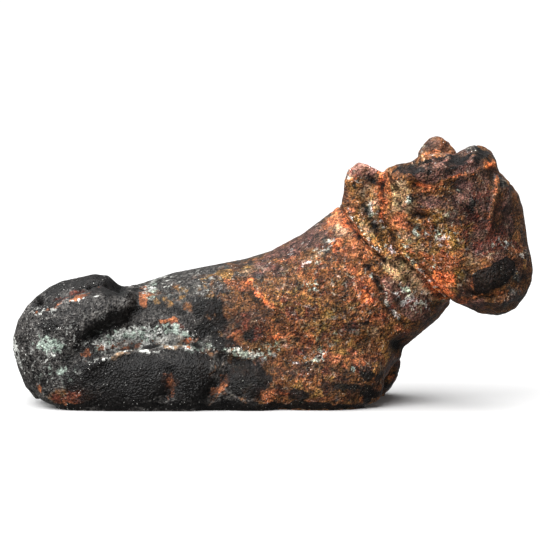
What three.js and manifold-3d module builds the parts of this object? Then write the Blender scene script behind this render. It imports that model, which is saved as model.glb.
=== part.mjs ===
// A recumbent bull, cast solid in bronze.
// Its legs are folded under it and its head is turned over its right shoulder.
// Units are millimetres. +X runs from the rump to the chest, +Y to the bull's left and +Z up.
// The origin lies on the ground, under the middle of the overall box.
import * as THREE from "three";
import { mergeVertices } from "three/addons/utils/BufferGeometryUtils.js";
import Module from "manifold-3d";

const wasm = await Module();
wasm.setup();

// Driving dimensions.
const LENGTH = 80; // over all, from the rump to the muzzle
const BODY_GRAIN = 2.3; // spacing of the mesh on the body
const HEAD_GRAIN = 1.6; // on the head
const GROOVE_GRAIN = 1.1; // and along the cut grooves
const BODY_SOFTENING = 7; // rounds of softening where the body's forms meet
const SKULL_SOFTENING = 8; // where the ear roots meet the skull
const FACE_SOFTENING = 2; // where the muzzle, horn band, ears and eyes meet the skull
const GROUND_BLOCK = 60; // thickness of the block that trims the underside flat

// The head's own frame: x forward out of the face, y to the bull's left, z up the brow.
const HEAD = {
  centre: [28.4, -5.5, 28.6],
  turn: -45, // about the vertical, towards the bull's right
  tilt: 12, // about the face's own axis, left side up
};

const UP = [0, 0, 1];

// A smooth value along 0 to 1 through evenly spaced ones.
function profile(values) {
  const spline = new THREE.SplineCurve(values.map((value, i) => new THREE.Vector2(i, value)));
  return (s) => spline.getPoint(s).y;
}

function signedPower(x, power) {
  return Math.sign(x) * Math.abs(x) ** power;
}

// A closed form with rounded ends that follows a path. The rows of a sphere become its cross-sections.
// Widths and heights are half sizes along the path, heights being measured towards rise.
// Corner squares the sections and blunt squares the ends: both are 2 for an ellipse.
// Taper narrows the side that rise points to.
function form({
  path,
  widths,
  heights = widths,
  rise = UP,
  corner = 2,
  blunt = 2,
  taper = 0,
  grain = BODY_GRAIN,
}) {
  const curve = new THREE.CatmullRomCurve3(path.map((point) => new THREE.Vector3(...point)));
  const girth = 2 * Math.PI * Math.hypot(Math.max(...widths), Math.max(...heights)) * Math.SQRT1_2;
  const around = Math.max(8, 2 * Math.round(girth / grain / 2));
  const along = Math.max(6, Math.round(curve.getLength() / grain) + 2);
  const widthAt = profile(widths);
  const heightAt = profile(heights);
  const riseHint = new THREE.Vector3(...rise);
  const geometry = new THREE.SphereGeometry(1, around, along);
  const position = geometry.getAttribute("position");
  const vertex = new THREE.Vector3();
  const side = new THREE.Vector3();
  const top = new THREE.Vector3();
  for (let i = 0; i < position.count; i++) {
    vertex.fromBufferAttribute(position, i);
    const axial = signedPower(-vertex.y, 2 / blunt);
    const radial = Math.max(0, 1 - Math.abs(axial) ** blunt) ** (1 / blunt);
    const s = THREE.MathUtils.clamp((1 + axial) / 2, 0, 1);
    const angle = Math.atan2(vertex.z, vertex.x);
    const upward = signedPower(Math.sin(angle), 2 / corner);
    const across = signedPower(Math.cos(angle), 2 / corner) * (1 - taper * upward);
    const tangent = curve.getTangentAt(s);
    side.crossVectors(riseHint, tangent).normalize();
    top.crossVectors(tangent, side);
    vertex
      .copy(curve.getPointAt(s))
      .addScaledVector(side, across * radial * widthAt(s))
      .addScaledVector(top, upward * radial * heightAt(s));
    position.setXYZ(i, vertex.x, vertex.y, vertex.z);
  }
  return geometry;
}

// A form's opposite number across the bull's middle plane, or across the head's.
function mirrored(spec, changes = {}) {
  const { rise = UP } = spec;
  const across = ([x, y, z]) => [x, -y, z];
  return { ...spec, path: spec.path.map(across), rise: across(rise), ...changes };
}

function solidOf(geometry) {
  const bare = geometry.clone();
  bare.deleteAttribute("normal");
  bare.deleteAttribute("uv");
  const merged = mergeVertices(bare, 1e-4);
  return new wasm.Manifold(
    new wasm.Mesh({
      numProp: 3,
      vertProperties: merged.getAttribute("position").array,
      triVerts: new Uint32Array(merged.index.array),
    }),
  );
}

function geometryOf(solid) {
  const mesh = solid.getMesh();
  const geometry = new THREE.BufferGeometry();
  geometry.setAttribute("position", new THREE.BufferAttribute(mesh.vertProperties, 3));
  geometry.setIndex(new THREE.BufferAttribute(mesh.triVerts, 1));
  return geometry;
}

function joined(geometries) {
  return geometries.map(solidOf).reduce((whole, piece) => whole.add(piece));
}

// Softens a solid as handling and corrosion do.
// Every point moves towards its neighbours, then most of the way back.
const TOWARDS = 0.5;
const BACK = -0.46;

function worn(solid, rounds) {
  const mesh = solid.getMesh();
  const { vertProperties: points, triVerts } = mesh;
  const neighbours = Array.from({ length: points.length / 3 }, () => new Set());
  for (let t = 0; t < triVerts.length; t += 3) {
    for (let k = 0; k < 3; k++) {
      const from = triVerts[t + k];
      const to = triVerts[t + ((k + 1) % 3)];
      neighbours[from].add(to);
      neighbours[to].add(from);
    }
  }
  for (let round = 0; round < 2 * rounds; round++) {
    const share = round % 2 ? BACK : TOWARDS;
    const before = points.slice();
    neighbours.forEach((ring, i) => {
      for (let axis = 0; axis < 3; axis++) {
        let sum = 0;
        for (const j of ring) sum += before[3 * j + axis];
        points[3 * i + axis] += share * (sum / ring.size - before[3 * i + axis]);
      }
    });
  }
  return new wasm.Manifold(new wasm.Mesh({ numProp: 3, vertProperties: points, triVerts }));
}

// A groove is an even cord that is cut away where it dips into the surface.
function groove(path, radius, rise = UP) {
  return form({ path, widths: [radius, radius], rise, blunt: 6, grain: GROOVE_GRAIN });
}

const TRUNK = {
  path: [
    [-38.6, 0, 7.4],
    [-25, 0, 7.8],
    [-10, 0, 8.2],
    [5, 0, 8.5],
    [18.4, 0, 8.2],
  ],
  widths: [11, 11, 11, 11.4, 9],
  heights: [8, 9.9, 13, 13.6, 8.6],
  corner: 2.4,
  blunt: 3.4,
};

const NECK = {
  path: [
    [-8, 0.2, 9.4],
    [4, 0.5, 13.4],
    [14.6, 0.4, 20.4],
    [24.5, -1.4, 28.6],
  ],
  widths: [8, 9.8, 8.8, 8],
  heights: [9.4, 11, 10.7, 9.4],
  corner: 2.2,
  blunt: 2.8,
  taper: 0.1,
};

const RUMP = {
  path: [
    [-40.4, -6.2, 8.6],
    [-31, -6.4, 8.8],
    [-21, -6.6, 9],
  ],
  widths: [6.2, 7.4, 6.6],
  heights: [8.6, 9.2, 5.6],
  corner: 2.2,
};

const THIGH = {
  path: [
    [-36.6, -6, 9.6],
    [-28.4, -6.2, 13.8],
    [-17.6, -6, 15.4],
  ],
  widths: [6, 7, 5],
  heights: [4.8, 4.9, 3.1],
  corner: 2.2,
  blunt: 2.3,
};

const FAR_THIGH = {
  path: [
    [-36.6, 6, 10],
    [-29.6, 6, 14.4],
    [-22.4, 5.6, 16.2],
  ],
  widths: [6, 6.6, 5.4],
  heights: [4.8, 5, 4],
  blunt: 3,
};

const HIND_LEG = {
  path: [
    [-36, -9.4, 3.8],
    [-26, -10.2, 3.9],
    [-16, -10.3, 4],
    [-5.4, -10.3, 4],
  ],
  widths: [3.4, 3.9, 4, 3.9, 4.1, 3.8],
  heights: [4, 4.8, 5.4, 5.8, 5.5, 5],
  corner: 2.8,
  blunt: 4,
  taper: 0.06,
};

const FORE_HOOF = {
  path: [
    [-7.4, -10.2, 2.9],
    [0.8, -10.2, 3],
  ],
  widths: [3.7, 4, 3.9],
  heights: [4.6, 4.9, 4.9],
  corner: 2.8,
  blunt: 4,
};

const FORE_LEG = {
  path: [
    [-1.6, -9.4, 3.6],
    [6, -9.2, 3.8],
    [12, -8.2, 4.8],
    [16.8, -6.4, 8],
  ],
  widths: [4, 4.6, 5, 4.6],
  heights: [4.6, 5.6, 6, 4.6],
  rise: [-0.4, 0, 1],
  corner: 2.3,
  blunt: 2.6,
};

const FAR_FORE_LEG = {
  path: [
    [-1.6, 9.4, 3.6],
    [7, 9.2, 3.9],
    [14.6, 8, 4],
    [20.2, 6, 6],
  ],
  widths: [4, 4.6, 4.8, 4],
  heights: [4.6, 5.6, 5.2, 4],
};

const SHOULDER = {
  path: [
    [1.6, -3.2, 21],
    [8.4, -4.6, 14.4],
    [14.4, -5, 7.4],
  ],
  widths: [5, 7.2, 6.6],
  heights: [7, 10.4, 9.2],
  rise: [1, 0, 1],
  corner: 2.4,
  blunt: 2.8,
};

function legs() {
  const alike = [RUMP, HIND_LEG, FORE_HOOF, SHOULDER];
  const both = alike.flatMap((spec) => [spec, mirrored(spec)]);
  const unlike = [THIGH, mirrored(THIGH, FAR_THIGH), FORE_LEG, mirrored(FORE_LEG, FAR_FORE_LEG)];
  return [...both, ...unlike].map(form);
}

const TAIL = {
  path: [
    [-33, 0.4, 15.2],
    [-37.4, 0.2, 13.4],
    [-39.2, -0.6, 9],
    [-38.2, -1.8, 4.6],
    [-35.8, -2.8, 0.4],
  ],
  widths: [1, 1.4, 1.4, 1.6, 2],
  grain: 1.2,
  rise: [1, 0, 0.4],
};

// The band of loose skin round the throat, from one side of the neck to the other.
const DEWLAP = {
  path: [
    [13.4, -5.2, 27.6],
    [17.8, -5.8, 22.4],
    [22.4, -4.2, 17.6],
    [25.2, 0.4, 15.4],
    [22.4, 5.4, 17.6],
    [17.8, 7, 22.4],
  ],
  widths: [2.6, 3.4, 3.4, 3.2, 3.4, 3.4, 2.6],
  rise: [1, 0, 1],
};

const BRISKET = {
  path: [
    [23.8, 0, 18],
    [16.4, 0, 11],
    [11.4, 0, 4],
  ],
  widths: [7.4, 9.8, 9.8],
  heights: [4.8, 5.8, 6],
  rise: [1, 0, 0],
  blunt: 2.6,
};

const CHEST = {
  path: [
    [14.4, 0, 21],
    [9.6, 0, 12],
    [6.6, 0, 4],
  ],
  widths: [9, 11, 10.8],
  heights: [8, 9.4, 9.4],
  rise: [1, 0, 0],
  corner: 2.9,
  blunt: 2.6,
};

// The head's parts, in its own frame.
const SKULL = {
  path: [
    [-3, -1.6, 10.4],
    [-1.4, -0.6, 5.5],
    [0, 0.5, -1],
    [2.6, 0.4, -6.5],
    [4.6, 0.2, -10.5],
    [5.8, 0.6, -15],
  ],
  widths: [6.4, 8.6, 9.3, 8.5, 6.8, 4.8],
  heights: [6.2, 7.9, 8, 7.4, 5.8, 4.4],
  rise: [1, 0, 0],
  corner: 2.8,
  blunt: 3.4,
};

const MUZZLE = {
  path: [
    [4.6, -0.2, -2.6],
    [6, -0.2, -11],
  ],
  widths: [5.2, 6.6, 6.6],
  heights: [3.6, 4.7, 4.6],
  rise: [1, 0, 0],
  corner: 3.4,
  blunt: 3.6,
};

const FOREHEAD = {
  path: [
    [4.9, -0.4, 7.8],
    [6.5, -0.2, 4.2],
    [7.7, 0, -0.4],
  ],
  widths: [7.2, 5.6, 1.2],
  heights: [1.2, 1.5, 1.1],
  rise: [1, 0, 0],
  corner: 3,
  blunt: 3,
};

const EYE = {
  path: [
    [-2, -8.8, 6],
    [1.6, -8.9, 5],
    [4.8, -7.4, 4],
  ],
  widths: [1.3, 1.5, 1.2],
  heights: [1.3, 1.7, 1.3],
};

const FAR_EYE = {
  path: [
    [-2.4, 7.6, 6],
    [1.2, 7.8, 5],
    [4.4, 6.4, 4],
  ],
};

const EAR = {
  path: [
    [-4.6, -8.6, -5],
    [-7.4, -10.6, -0.6],
    [-8.6, -11.4, 5.4],
    [-8, -10.8, 11.8],
  ],
  widths: [1.8, 3, 3.5, 3],
  heights: [1.5, 1.8, 2, 2],
  rise: [0.7, -0.7, 0],
  blunt: 2.3,
};

const FAR_EAR = {
  path: [
    [-5.4, 6.4, -1],
    [-8.2, 7, 5.4],
    [-9.2, 6.4, 11.8],
  ],
  widths: [2.4, 2.8, 2.6],
  heights: [3, 4, 3.6],
  rise: [1, 0.3, 0],
};

const EAR_ROOT = {
  path: [
    [-3.6, -7, -6],
    [-4.4, -7.8, 0.6],
    [-4.8, -7.6, 8.4],
  ],
  widths: [3, 3.9, 3.4],
  rise: [1, 0, 0],
};

const HORN_BAND = {
  path: [
    [-5.4, -9, 9],
    [-0.8, -8.8, 9.4],
    [3.2, -5.2, 9.2],
    [4.2, -0.4, 8.6],
    [2.4, 4.2, 8.2],
    [-1.6, 8.4, 8.4],
  ],
  widths: [2.4, 2.8, 2.1, 2, 2.3, 2.8],
  heights: [2.8, 3.1, 2.5, 2.3, 2.7, 3.4],
  blunt: 3,
};

function headGrooves() {
  return [
    groove(
      [
        [6.6, -7.6, -6.6],
        [9, -6.5, -8.8],
        [10.4, -3.4, -10],
        [10.6, 0.8, -9.6],
        [9.8, 4.8, -10],
        [7.2, 7.4, -9],
      ],
      0.65,
    ),
    groove(
      [
        [0.4, -9.4, 6.9],
        [4.6, -7.6, 6.9],
        [6.9, -3.4, 6],
        [7.6, 0, 5.4],
        [6.6, 4.2, 5.2],
        [3.4, 8, 5.4],
      ],
      0.5,
    ),
  ];
}

// Puts parts of the head where the head sits on the neck.
function placed(parts) {
  const place = new THREE.Object3D();
  place.position.set(...HEAD.centre);
  place.rotation.set(THREE.MathUtils.degToRad(HEAD.tilt), 0, THREE.MathUtils.degToRad(HEAD.turn), "ZYX");
  place.updateMatrix();
  return parts.map((part) => part.applyMatrix4(place.matrix));
}

function head() {
  const forms = (specs) => joined(placed(specs.map((spec) => form({ ...spec, grain: HEAD_GRAIN }))));
  const skull = worn(forms([SKULL, EAR_ROOT, mirrored(EAR_ROOT)]), SKULL_SOFTENING);
  const face = forms([MUZZLE, HORN_BAND, FOREHEAD, EYE, mirrored(EYE, FAR_EYE), EAR, mirrored(EAR, FAR_EAR)]);
  return worn(skull.add(face), FACE_SOFTENING);
}

// Where the hind hoof meets the fore hoof, and the notch above the fetlock.
function hoofGrooves() {
  return [
    groove(
      [
        [-5.2, -14.8, 8],
        [-7, -14.5, 4],
        [-9, -14.6, 0],
      ],
      0.9,
      [1, 0, 0],
    ),
    groove(
      [
        [-16.8, -15, 6],
        [-16, -14.8, 3.4],
        [-15.4, -15, 0.6],
      ],
      1,
      [1, 0, 0],
    ),
  ];
}

// The flat strip between the belly and the hind leg, and the dip behind the shoulder.
function hollows() {
  return [
    form({
      path: [
        [-30, -13, 10.4],
        [-21, -12.8, 12.2],
        [-13, -12.8, 11.4],
        [-5, -12.8, 10.6],
      ],
      widths: [1.6, 3, 2.6, 1.4],
      heights: [1.2, 2.9, 2.2, 1.1],
    }),
    form({
      path: [
        [-7.4, -12.6, 19],
        [-5.6, -12.6, 15],
        [-3, -12.6, 11],
      ],
      widths: [2.2, 3, 1.8],
      rise: [1, 0, 0],
    }),
  ];
}

function bull() {
  const ground = new THREE.BoxGeometry(3 * GROUND_BLOCK, 3 * GROUND_BLOCK, GROUND_BLOCK);
  ground.translate(0, 0, -GROUND_BLOCK / 2);
  const masses = [TRUNK, NECK, CHEST, BRISKET, DEWLAP, TAIL].map(form);
  const body = joined([...masses, ...legs()]).subtract(joined(hollows()));
  const solid = worn(body, BODY_SOFTENING)
    .add(head())
    .subtract(joined([...hoofGrooves(), ...placed(headGrooves())]))
    .subtract(solidOf(ground));
  const geometry = geometryOf(solid);
  geometry.computeBoundingBox();
  const { min, max } = geometry.boundingBox;
  const scale = LENGTH / (max.x - min.x);
  geometry.translate(-(min.x + max.x) / 2, -(min.y + max.y) / 2, -min.z);
  geometry.scale(scale, scale, scale);
  const mesh = new THREE.Mesh(
    geometry,
    new THREE.MeshStandardMaterial({ color: 0x4a3628, roughness: 0.62, metalness: 0.55 }),
  );
  mesh.name = "bull";
  return mesh;
}

const statuette = new THREE.Group();
statuette.add(bull());

export default statuette;
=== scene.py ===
# A small recumbent bull, cast solid in bronze and long buried: worn forms under a crusted patina.
# Strokes and patches are placed in pixels of a 550 pixel picture and land on the surface seen there.
import math

import bpy
import numpy as np
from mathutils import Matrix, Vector, noise
from mathutils.bvhtree import BVHTree


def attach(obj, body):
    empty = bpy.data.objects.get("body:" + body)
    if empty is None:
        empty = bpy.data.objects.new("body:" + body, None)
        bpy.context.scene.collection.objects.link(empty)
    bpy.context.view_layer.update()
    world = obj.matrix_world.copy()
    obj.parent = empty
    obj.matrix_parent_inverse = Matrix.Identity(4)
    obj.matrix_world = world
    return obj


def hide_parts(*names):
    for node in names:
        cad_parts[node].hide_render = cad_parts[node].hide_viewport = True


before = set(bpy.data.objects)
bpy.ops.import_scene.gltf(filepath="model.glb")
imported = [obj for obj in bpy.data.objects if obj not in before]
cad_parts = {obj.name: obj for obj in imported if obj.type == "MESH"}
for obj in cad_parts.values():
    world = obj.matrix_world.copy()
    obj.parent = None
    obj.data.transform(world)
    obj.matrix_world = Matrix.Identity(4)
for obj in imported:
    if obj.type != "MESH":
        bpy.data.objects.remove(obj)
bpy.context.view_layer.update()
bpy.ops.object.select_all(action="DESELECT")

mm = 0.001

# The camera looks at the bull's right side from a little above the ground.
view = {
    "elevation": 5.0,  # degrees
    "distance": 600.0,  # millimetres to the plane of the near flank
    "frameWidth": 83.55,  # millimetres across the picture in that plane
    "aim": (0.54, -12.0, 20.77),
    "sensor": 36.0,
    "clip": 0.01,  # metres
    "pixels": 550,
}
tiltUp = math.radians(view["elevation"])
towardsCamera = np.array((0.0, -math.cos(tiltUp), math.sin(tiltUp)))
pictureUp = np.array((0.0, math.sin(tiltUp), math.cos(tiltUp)))
pictureRight = np.array((1.0, 0.0, 0.0))
eye = np.array(view["aim"]) + towardsCamera * view["distance"]
pixelSpan = view["frameWidth"] / view["pixels"] / view["distance"]


def addCamera():
    data = bpy.data.cameras.new("camera")
    data.sensor_width = view["sensor"]
    data.lens = view["sensor"] * view["distance"] / view["frameWidth"]
    data.clip_start = view["clip"]
    camera = bpy.data.objects.new("camera", data)
    camera.location = Vector(eye) * mm
    camera.rotation_euler = (math.radians(90) - tiltUp, 0, 0)
    bpy.context.scene.collection.objects.link(camera)
    bpy.context.scene.camera = camera


def pictureOf(points):  # where points in millimetres land in the picture, in pixels
    seen = points - eye
    depth = -(seen @ towardsCamera)
    across = (seen @ pictureRight) / depth / pixelSpan
    up = (seen @ pictureUp) / depth / pixelSpan
    return np.stack((view["pixels"] / 2 + across, view["pixels"] / 2 - up), 1)


def rayThrough(pixel):  # the line of sight through a pixel
    across = (pixel[0] - view["pixels"] / 2) * pixelSpan
    up = (view["pixels"] / 2 - pixel[1]) * pixelSpan
    ray = -towardsCamera + across * pictureRight + up * pictureUp
    return ray / np.linalg.norm(ray)


# Mesh helpers. Points are handled in millimetres.
def pointsOf(piece):
    flat = np.empty(3 * len(piece.data.vertices), np.float32)
    piece.data.vertices.foreach_get("co", flat)
    return flat.reshape(-1, 3).astype(float) / mm


def normalsOf(piece):
    flat = np.empty(3 * len(piece.data.vertices), np.float32)
    piece.data.vertex_normals.foreach_get("vector", flat)
    return flat.reshape(-1, 3).astype(float)


def movePoints(piece, points):
    piece.data.vertices.foreach_set("co", (points * mm).astype(np.float32).ravel())
    piece.data.update()


def evened(piece, values, rounds):  # values or points, averaged with their neighbours over the surface
    ends = np.empty(2 * len(piece.data.edges), np.int32)
    piece.data.edges.foreach_get("vertices", ends)
    ends = ends.reshape(-1, 2)
    size = len(values)
    count = np.bincount(ends.ravel(), minlength=size).clip(1)
    columns = np.array(values, float).reshape(size, -1)
    for _ in range(rounds):
        for k in range(columns.shape[1]):
            column = columns[:, k]
            total = np.bincount(ends[:, 0], column[ends[:, 1]], size)
            total += np.bincount(ends[:, 1], column[ends[:, 0]], size)
            columns[:, k] = 0.5 * column + 0.5 * total / count
    return columns.reshape(np.shape(values))


def softStep(low, high, values):
    share = np.clip((values - low) / (high - low), 0, 1)
    return share * share * (3 - 2 * share)


def roughness(points, size, octaves, seed):  # smooth random values around 0, of that size in millimetres
    shift = Vector((17.3, 5.1, 9.7)) * (seed + 1)
    return np.array([noise.fractal(Vector(p) + shift, 0.9, 2.0, octaves) for p in points / size])


def cells(points, size, seed):  # distance to the nearest of random points, in cell sizes
    shift = Vector((3.7, 11.9, 7.3)) * (seed + 1)
    return np.array([noise.voronoi(Vector(p) + shift)[0][0] for p in points / size])


def finishWith(piece, kind, **settings):  # one modifier, added and applied
    bpy.ops.object.select_all(action="DESELECT")
    piece.select_set(True)
    bpy.context.view_layer.objects.active = piece
    modifier = piece.modifiers.new(kind.title(), kind)
    for name, value in settings.items():
        setattr(modifier, name, value)
    bpy.ops.object.modifier_apply(modifier=modifier.name)


def smoothed(piece, rounds, group=""):  # all over, or in one vertex group
    finishWith(piece, "SMOOTH", factor=0.5, iterations=rounds, vertex_group=group)


# The head's own frame, as it is cast: x forward out of the face, y to the bull's left, z up the brow.
headFrame = {
    "centre": np.array((28.9, -4.9, 28.6)),
    "turn": math.radians(-45),
    "tilt": math.radians(12),
    "reach": 18.5,  # millimetres from the centre to the tips of the ears
}
turnCos, turnSin = math.cos(headFrame["turn"]), math.sin(headFrame["turn"])
tiltCos, tiltSin = math.cos(headFrame["tilt"]), math.sin(headFrame["tilt"])
headAxes = np.array((
    (turnCos, turnSin, 0),
    (-turnSin * tiltCos, turnCos * tiltCos, tiltSin),
    (turnSin * tiltSin, -turnCos * tiltSin, tiltCos),
))


def inHead(points):
    return (points - headFrame["centre"]) @ headAxes.T


def acrossHead(points):  # mirrored from one side of the face to the other
    return inHead(points) * (1, -1, 1) @ headAxes + headFrame["centre"]


def acrossBody(points):
    return points * (1, -1, 1)


# The casting itself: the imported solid, remeshed fine and worn smooth, the head less than the body.
casting = {
    "weld": 0.01,  # millimetres, as are the voxels
    "roughVoxel": 0.5,
    "bodyRounds": 14,
    "headRounds": 4,
    "fineVoxel": 0.335,
    "fineRounds": 2,
    "strokeRounds": 1,  # after the strokes
    "footing": 0.3,  # millimetres above the ground within which the underside is pressed flat
    # Middle and radii of the fillets that join the ears to the head and the chin to the neck.
    "fillets": [
        ((16.6, -8.0, 32.0), (2.5, 1.8, 4.2)), ((14.7, -8.0, 34.1), (1.9, 1.6, 3.2)),
        ((28.6, 4.1, 32.4), (2.4, 2.4, 4.6)), ((11.8, -6.5, 30.5), (1.1, 1.4, 1.2)),
        ((26.0, 4.0, 37.6), (3.8, 1.7, 2.7)), ((26.6, -1.6, 16.9), (1.7, 2.4, 1.6)),
        ((28.1, 4.0, 38.3), (1.9, 1.5, 2.1)),
    ],
}


def castBull():
    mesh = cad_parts["bull"].data.copy()
    bull = bpy.data.objects.new("castBull", mesh)
    bpy.context.scene.collection.objects.link(bull)
    bpy.ops.object.select_all(action="DESELECT")
    bull.select_set(True)
    bpy.context.view_layer.objects.active = bull
    bpy.ops.object.mode_set(mode="EDIT")
    bpy.ops.mesh.select_all(action="SELECT")
    bpy.ops.mesh.remove_doubles(threshold=casting["weld"] * mm)
    bpy.ops.object.mode_set(mode="OBJECT")
    for middle, radii in casting["fillets"]:
        bpy.ops.mesh.primitive_uv_sphere_add(segments=32, ring_count=16)
        fillet = bpy.context.object
        movePoints(fillet, pointsOf(fillet) * mm * radii + middle)
        fillet.select_set(True)
        bull.select_set(True)
        bpy.context.view_layer.objects.active = bull
        bpy.ops.object.join()
    finishWith(bull, "REMESH", mode="VOXEL", voxel_size=casting["roughVoxel"] * mm)
    points = pointsOf(bull)
    fromHead = np.linalg.norm(inHead(points), axis=1)
    body = bull.vertex_groups.new(name="body")
    for i in np.flatnonzero(fromHead > headFrame["reach"]).tolist():
        body.add([i], 1.0, "REPLACE")
    smoothed(bull, casting["headRounds"])
    smoothed(bull, casting["bodyRounds"], "body")
    finishWith(bull, "REMESH", mode="VOXEL", voxel_size=casting["fineVoxel"] * mm)
    smoothed(bull, casting["fineRounds"])
    print("casting:", len(bull.data.polygons), "faces")
    return bull


# Strokes of the wax tool and of wear: a path in pixels, then width and height in millimetres.
# A height below zero is a groove. The last entry says across what the stroke is repeated.
bodyStrokes = {
    "sacralGroove": ([(36, 306), (50, 299), (66, 293), (86, 288), (104, 285), (116, 284)], 1.0, -1.0, None),
    "rumpEnd": ([(121, 281), (125, 283), (129, 286)], 1.8, -0.9, None),
    "haunchCrest": ([(32, 316), (50, 309), (72, 302), (95, 297), (112, 294), (128, 293)], 1.0, 0.3, None),
    "haunchFront": ([(135, 288), (138, 297), (137, 308), (132, 318)], 1.1, -0.4, "body"),
    "haunchUnder": ([(134, 313), (118, 321), (102, 330), (86, 342), (72, 358)], 1.6, -0.55, "body"),
    "ledge": ([(88, 357), (104, 349), (124, 344), (146, 340), (170, 339), (192, 341)], 1.6, -0.25, "body"),
    "shankEdge": ([(90, 366), (111, 356), (129, 352), (150, 352), (167, 348),
                   (193, 348), (216, 352)], 0.55, 0.45, "body"),
    "flankEdge": ([(140, 322), (158, 317), (176, 323), (192, 335), (206, 343),
                   (226, 348), (250, 350)], 0.9, 0.2, "body"),
    "bellyCrease": ([(196, 345), (208, 350), (230, 357), (252, 361), (272, 358)], 0.8, -0.3, "body"),
    "fetlockNotch": ([(173, 371), (173, 382), (167, 394), (159, 404)], 1.1, -0.45, "body"),
    "hoofParting": ([(236, 361), (224, 377), (213, 389), (206, 403)], 1.0, -0.35, "body"),
    "hoofEdge": ([(266, 368), (268, 378), (264, 390), (258, 400)], 0.9, -0.3, "body"),
    "elbowHollow": ([(238, 302), (228, 315), (214, 326)], 3.4, -0.6, "body"),
    "bladeGroove": ([(240, 282), (253, 297), (266, 312), (281, 325), (298, 336)], 1.2, -0.3, "body"),
    "bladeEdge": ([(252, 277), (265, 293), (278, 308), (293, 320), (310, 331)], 1.3, 0.25, "body"),
    "dewlapCrease": ([(369, 268), (376, 279), (382, 291), (384, 303), (392, 314),
                      (405, 323)], 0.6, -0.22, "body"),
    "dewlapEdge": ([(374, 268), (381, 279), (387, 291), (389, 302), (396, 312),
                    (408, 320)], 0.5, 0.25, "body"),
    "dewlapRoll": ([(390, 286), (398, 298), (406, 308), (418, 315)], 2.2, 0.25, "body"),
    "neckFold": ([(356, 228), (366, 242), (380, 256), (396, 270), (412, 285),
                  (428, 300)], 0.6, -0.12, "body"),
    "farKnee": ([(395, 376), (388, 388), (378, 396)], 1.3, 0.5, None),
    "tailRidge": ([(18, 334), (19, 345), (23, 358), (29, 374)], 1.0, 0.15, None),
}
headStrokes = {
    "jawLine": ([(404, 254), (412, 262), (426, 276), (440, 291), (453, 302)], 0.45, 0.3, "head"),
    "jawUnder": ([(400, 259), (409, 268), (422, 282), (436, 296), (448, 305)], 0.6, -0.15, "head"),
    "earGroove": ([(381, 184), (382, 204), (380, 216), (385, 229), (393, 240)], 0.9, -0.5, "head"),
    "earDish": ([(367, 182), (363, 194), (364, 208), (370, 222), (380, 236)], 1.2, -0.5, "head"),
    "earRim": ([(362, 167), (352, 174), (347, 188), (348, 204), (354, 218),
                (364, 231), (376, 243), (390, 256)], 0.7, 0.35, "head"),
    "earCrown": ([(349, 181), (351, 174), (357, 167)], 1.0, 0.5, "head"),
    "earTopSide": ([(370, 168), (376, 172)], 0.8, 0.35, "head"),
    "earLobe": ([(350, 203), (357, 218), (367, 231), (379, 242), (392, 253)], 1.3, 0.6, "head"),
    "earUnder": ([(341, 207), (347, 222), (357, 236)], 0.8, -0.5, "head"),
    "earFilled": ([(370, 253), (381, 264), (393, 275)], 1.5, 0.7, "head"),
    "browLine": ([(440, 181), (455, 177), (470, 173), (485, 167), (495, 163)], 0.5, 0.3, None),
    "eyeLidAbove": ([(405, 203), (410, 195), (418, 191), (428, 190), (440, 193)], 0.6, 0.22, "head"),
    "eyeFold": ([(404, 214), (414, 221), (430, 222), (446, 214)], 0.5, 0.2, "head"),
    "eyeFoldUnder": ([(408, 222), (420, 228), (434, 227), (448, 220)], 0.5, -0.08, "head"),
    "eyeBall": ([(418, 203), (430, 202)], 1.1, 0.12, "head"),
    "foreheadLeft": ([(442, 187), (455, 193), (467, 203), (476, 213), (485, 224)], 0.5, 0.3, None),
    "foreheadRight": ([(499, 174), (496, 190), (492, 205), (490, 219), (488, 230)], 0.55, 0.4, None),
    "foreheadDish": ([(462, 186), (472, 192), (481, 204)], 1.8, -0.3, None),
    "farEyeHollow": ([(502, 188), (503, 198), (501, 208)], 0.9, -0.15, None),
    "cheekEdge": ([(446, 214), (449, 232), (453, 252), (453, 272), (453, 292)], 1.3, 0.2, "head"),
    "noseHollow": ([(468, 232), (472, 246), (470, 260)], 1.8, -0.25, None),
    "noseFace": ([(480, 284), (494, 278), (508, 271), (522, 265)], 2.2, -0.1, None),
    "mouth": ([(472, 294), (480, 298), (490, 298), (506, 291)], 0.55, -0.25, None),
    "mouthFilled": ([(500, 298), (512, 292), (524, 285), (531, 281)], 1.3, 0.7, None),
    "lowerLip": ([(476, 305), (492, 304), (508, 297), (523, 289)], 0.8, 0.2, None),
    "knob": ([(397, 172), (400, 180), (402, 186)], 1.3, 0.35, "head"),
    "bandTop": ([(400, 162), (412, 160), (426, 159)], 1.6, -1.0, None),
    "farKnob": ([(467, 150), (474, 148)], 1.3, 0.7, None),
    "farEarSide": ([(420, 159), (422, 155)], 1.0, 1.0, None),
    "farEarLeft": ([(422, 143), (427, 138)], 1.0, -0.6, None),
    "farEarRoot": ([(420, 157.5), (430, 157), (441, 155.5)], 1.1, -1.2, None),
}


strokeStep = 3  # pixels


def landed(surface, pixels):  # the points of the surface that are seen along a path of pixels
    path = []
    for start, end in zip(pixels, pixels[1:]):
        steps = max(2, int(math.dist(start, end) / strokeStep))
        path += [np.array(start) + (np.array(end) - start) * k / steps for k in range(steps)]
    path.append(np.array(pixels[-1], float))
    found = []
    for pixel in path:
        hit = surface.ray_cast(Vector(eye), Vector(rayThrough(pixel)))[0]
        if hit:
            found.append(np.array(hit))
    return np.array(found)


def snapped(surface, points):
    return np.array([np.array(surface.find_nearest(Vector(p))[0]) for p in points])


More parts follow.
